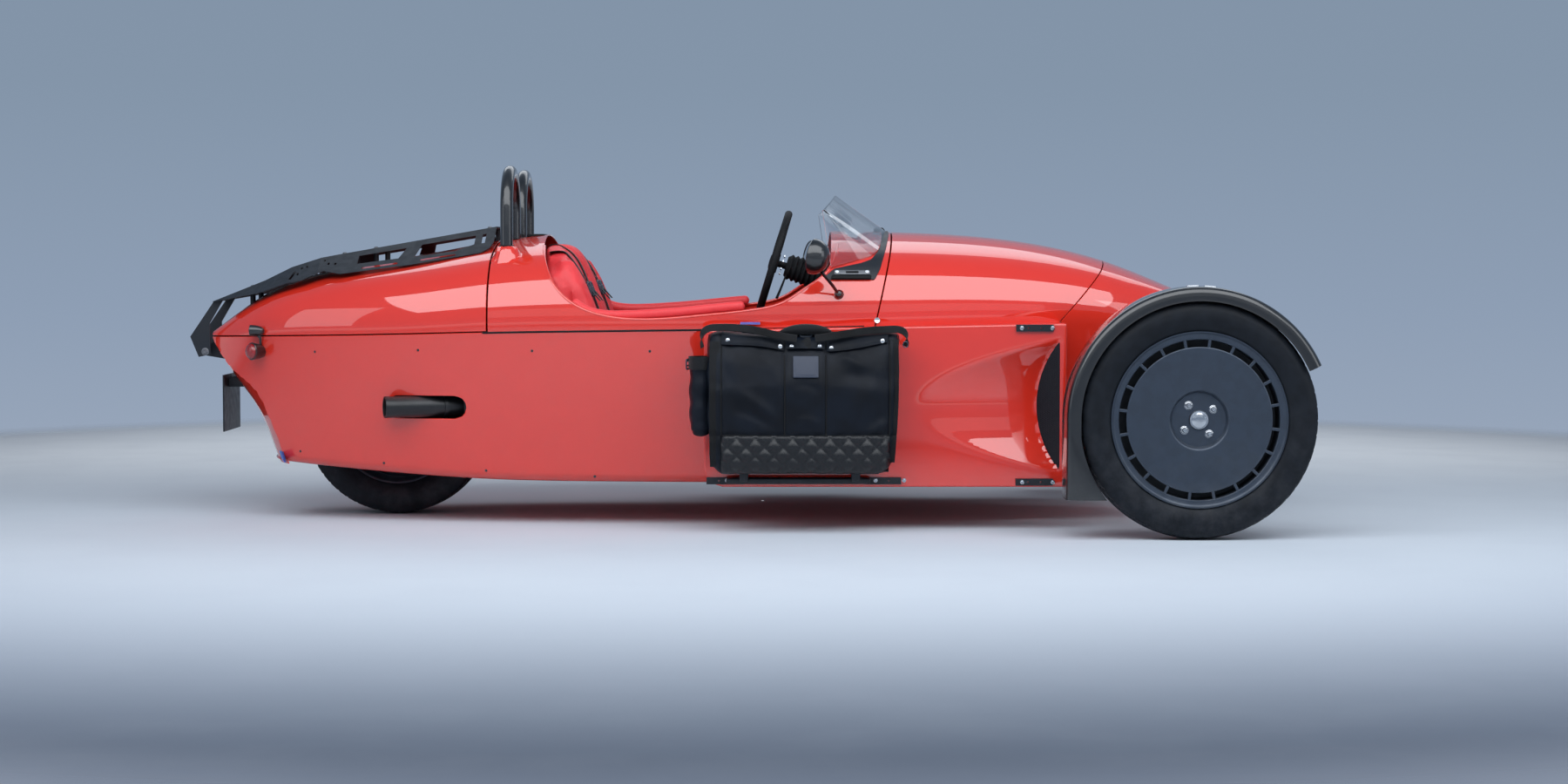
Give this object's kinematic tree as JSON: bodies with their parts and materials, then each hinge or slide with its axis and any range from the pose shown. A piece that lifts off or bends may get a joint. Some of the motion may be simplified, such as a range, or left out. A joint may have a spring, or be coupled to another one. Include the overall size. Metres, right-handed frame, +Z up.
{
  "type": "three wheeled open two-seat car",
  "caption": "Three wheeled open two-seater: boat-tail body, exposed steered front wheels in turning mudguards, driven rear wheel, panniers, roll hoops and folded tail rack.",
  "frame": {"origin": "on the ground, on the centre plane, halfway along the whole length", "axes": "+X to the front, +Y to the left side, +Z up"},
  "size_m": [3.6109, 1.85, 1.1599],
  "materials": {
    "coral_paint": "gloss",
    "black_paint": "gloss",
    "black_satin": "satin powder coat",
    "wheel_grey": "satin",
    "bare_metal": "cast, satin",
    "engine_metal": "cast",
    "tyre_rubber": "matte",
    "black_rubber": "matte",
    "red_trim": "soft",
    "black_canvas": "waxed",
    "clear_acrylic": "polished",
    "red_lens": "polished",
    "lamp_glass": "polished",
    "exhaust_black": "ceramic coated"
  },
  "bodies": {
    "chassis": {"lower_hull": "coral_paint", "bulkheads": "bare_metal", "cockpit_cowl": "coral_paint", "bonnet": "coral_paint", "nose_cowl": "coral_paint", "front_frame": "bare_metal", "engine_block": "engine_metal", "roll_hoops": "black_paint", "blade_left": "coral_paint", "blade_right": "coral_paint", "vent_grilles": "black_satin", "pannier_bars": "black_satin", "pannier_left": "black_canvas", "pannier_right": "black_canvas", "dashboard": "black_satin", "seat_backs": "red_trim", "seat_cushions": "red_trim", "side_pads": "red_trim", "wind_screens": "clear_acrylic", "mirrors": "black_satin", "tail_lamps": "black_satin", "tail_lenses": "red_lens", "headlamps": "black_satin", "headlamp_lenses": "lamp_glass", "exhaust": "exhaust_black", "number_plate": "black_satin", "rear_foot": "black_satin", "swing_arm": "black_satin", "suspension": "black_satin", "steering_column": "black_rubber"},
    "tail": {"tail_lid": "coral_paint", "luggage_rack": "black_satin"},
    "knuckle_left": {"upright_left": "bare_metal", "mudguard_left": "black_paint"},
    "knuckle_right": {"upright_right": "bare_metal", "mudguard_right": "black_paint"},
    "wheel_front_left": {"tyre_front_left": "tyre_rubber", "rim_front_left": "wheel_grey"},
    "wheel_front_right": {"tyre_front_right": "tyre_rubber", "rim_front_right": "wheel_grey"},
    "wheel_rear": {"tyre_rear": "tyre_rubber", "rim_rear": "wheel_grey"},
    "steering_wheel": {"steering_wheel": "black_rubber"},
    "track_rods": {"track_rods": "black_satin"}
  },
  "joints": [
    {"name": "steer_left", "type": "hinge", "parent": "chassis", "child": "knuckle_left", "pos_m": [1.4385, 0.8, 0.367], "axis": [0, 0, 1], "range_deg": [-27, 27]},
    {"name": "steer_right", "type": "hinge", "parent": "chassis", "child": "knuckle_right", "pos_m": [1.4385, -0.8, 0.367], "axis": [0, 0, 1], "range_deg": [-27, 27]},
    {"name": "spin_front_left", "type": "hinge", "parent": "knuckle_left", "child": "wheel_front_left", "pos_m": [1.4385, 0.857, 0.367], "axis": [0, 1, 0], "continuous": true},
    {"name": "spin_front_right", "type": "hinge", "parent": "knuckle_right", "child": "wheel_front_right", "pos_m": [1.4385, -0.857, 0.367], "axis": [0, 1, 0], "continuous": true},
    {"name": "spin_rear", "type": "hinge", "parent": "chassis", "child": "wheel_rear", "pos_m": [-1.12, 0, 0.312], "axis": [0, 1, 0], "continuous": true},
    {"name": "steering_wheel_turn", "type": "hinge", "parent": "chassis", "child": "steering_wheel", "pos_m": [0.143, -0.3, 0.843], "axis": [-0.9563, 0, 0.2924], "range_deg": [-330, 330]},
    {"name": "rack_slide", "type": "slide", "parent": "chassis", "child": "track_rods", "axis": [0, 1, 0], "range_m": [-0.052, 0.052]},
    {"name": "tail_lid_hinge", "type": "hinge", "parent": "chassis", "child": "tail", "pos_m": [-1.756, 0, 0.545], "axis": [0, -1, 0], "range_deg": [0, 45]}
  ],
  "couplings": [
    {"joint": "steer_right", "follows": "steer_left", "ratio": 1},
    {"joint": "steering_wheel_turn", "follows": "steer_left", "ratio": 12},
    {"joint": "rack_slide", "follows": "steer_left", "m_per_rad": -0.1085}
  ]
}
